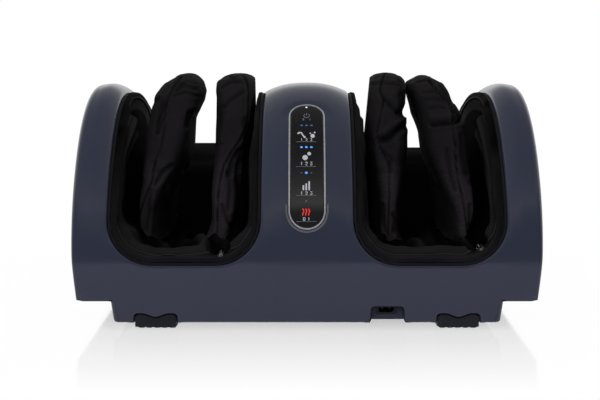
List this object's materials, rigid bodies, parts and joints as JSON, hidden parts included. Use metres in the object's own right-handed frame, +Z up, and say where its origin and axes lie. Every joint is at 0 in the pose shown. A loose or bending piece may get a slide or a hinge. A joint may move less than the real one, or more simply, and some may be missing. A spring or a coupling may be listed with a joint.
{
  "type": "foot massager",
  "caption": "Twin-well kneading foot and calf massager with fabric-covered paddles on a wobble-hub shaft, touch panel and fold-out tilt stand.",
  "frame": {"origin": "on the surface it stands on, under the middle of the machine", "axes": "+X to the right seen from the front, +Y to the back, +Z up"},
  "size_m": [0.44, 0.4, 0.2353],
  "materials": {
    "housing_gloss": "polished graphite-blue moulding",
    "pan_black": "fine moulded texture",
    "black_fabric": "soft black velour-like knit with sewn seams",
    "heater_silicone": "silicone heating mat",
    "foot_rubber": "matte ribbed rubber",
    "bezel_metal": "satin plated rim",
    "panel_black": "polished smoked acrylic",
    "board_green": "lacquered circuit board",
    "black_plastic": "moulded black",
    "lead_black": "PVC sheath",
    "zinc_plate": "zinc plated",
    "steel": "ground steel",
    "nylon": "natural glass-filled nylon",
    "zip_metal": "dark plated zinc"
  },
  "bodies": {
    "root": {"upper_housing": "housing_gloss", "base_pan": "pan_black", "left_well_tub": "pan_black", "right_well_tub": "pan_black", "left_well_liner": "black_fabric", "right_well_liner": "black_fabric", "left_heater_pad": "heater_silicone", "right_heater_pad": "heater_silicone", "left_front_foot": "foot_rubber", "right_front_foot": "foot_rubber", "left_rear_foot": "foot_rubber", "right_rear_foot": "foot_rubber", "panel_bezel": "bezel_metal", "panel_glass": "panel_black", "control_board": "board_green", "power_board": "board_green", "power_inlet": "black_plastic", "motor_end_cap": "black_plastic", "gearbox_housing": "black_plastic", "gearbox_cover": "black_plastic", "left_stand_clip": "black_plastic", "right_stand_clip": "black_plastic", "panel_lead": "lead_black", "motor_lead": "lead_black", "inlet_lead": "lead_black", "chassis_plate": "zinc_plate", "left_bearing_block": "zinc_plate", "right_bearing_block": "zinc_plate", "left_shaft_bearing": "steel", "right_shaft_bearing": "steel", "motor_can": "steel", "left_outer_guide_fork": "nylon", "left_inner_guide_fork": "nylon", "right_inner_guide_fork": "nylon", "right_outer_guide_fork": "nylon", "left_zip_slider": "zip_metal", "right_zip_slider": "zip_metal"},
    "shaft": {"drive_shaft": "steel", "worm_wheel": "nylon", "left_outer_hub": "zinc_plate", "left_inner_hub": "zinc_plate", "right_inner_hub": "zinc_plate", "right_outer_hub": "zinc_plate"},
    "rotor": {"motor_rotor": "steel"},
    "stand": {"tilt_stand": "steel", "stand_sleeve": "foot_rubber"},
    "left_pull": {"left_zip_pull": "zip_metal"},
    "right_pull": {"right_zip_pull": "zip_metal"},
    "left_outer_kneader": {"left_outer_paddle": "nylon", "left_outer_bearing": "steel", "left_outer_cover": "black_fabric"},
    "left_inner_kneader": {"left_inner_paddle": "nylon", "left_inner_bearing": "steel", "left_inner_cover": "black_fabric"},
    "right_inner_kneader": {"right_inner_paddle": "nylon", "right_inner_bearing": "steel", "right_inner_cover": "black_fabric"},
    "right_outer_kneader": {"right_outer_paddle": "nylon", "right_outer_bearing": "steel", "right_outer_cover": "black_fabric"}
  },
  "joints": [
    {"name": "shaft_spin", "type": "hinge", "parent": "root", "child": "shaft", "pos_m": [0, 0, 0.046], "axis": [1, 0, 0], "continuous": true},
    {"name": "rotor_spin", "type": "hinge", "parent": "root", "child": "rotor", "pos_m": [0, 0, 0.0845], "axis": [0, 1, 0], "continuous": true},
    {"name": "left_outer_wobble", "type": "hinge", "parent": "shaft", "child": "left_outer_kneader", "pos_m": [-0.158, 0, 0.046], "axis": [0.9981, 0, -0.061], "continuous": true},
    {"name": "left_inner_wobble", "type": "hinge", "parent": "shaft", "child": "left_inner_kneader", "pos_m": [-0.082, 0, 0.046], "axis": [0.9981, 0.0432, -0.0432], "continuous": true},
    {"name": "right_inner_wobble", "type": "hinge", "parent": "shaft", "child": "right_inner_kneader", "pos_m": [0.082, 0, 0.046], "axis": [0.9981, -0.0529, -0.0305], "continuous": true},
    {"name": "right_outer_wobble", "type": "hinge", "parent": "shaft", "child": "right_outer_kneader", "pos_m": [0.158, 0, 0.046], "axis": [0.9981, 0, 0.061], "continuous": true},
    {"name": "stand_fold", "type": "hinge", "parent": "root", "child": "stand", "pos_m": [0, 0.122, 0.0109], "axis": [-1, 0, 0], "range_deg": [0, 95]},
    {"name": "left_zip_pull_swing", "type": "hinge", "parent": "root", "child": "left_pull", "pos_m": [-0.08129, -0.173, 0.07268], "axis": [-0.9893, 0, -0.1461], "range_deg": [0, 110]},
    {"name": "right_zip_pull_swing", "type": "hinge", "parent": "root", "child": "right_pull", "pos_m": [0.16287, -0.173, 0.07847], "axis": [-0.8018, 0, -0.5976], "range_deg": [0, 110]}
  ],
  "couplings": [
    {"joint": "rotor_spin", "follows": "shaft_spin", "ratio": -26},
    {"joint": "left_outer_wobble", "follows": "shaft_spin", "ratio": -1},
    {"joint": "left_inner_wobble", "follows": "shaft_spin", "ratio": -1},
    {"joint": "right_inner_wobble", "follows": "shaft_spin", "ratio": -1},
    {"joint": "right_outer_wobble", "follows": "shaft_spin", "ratio": -1}
  ]
}
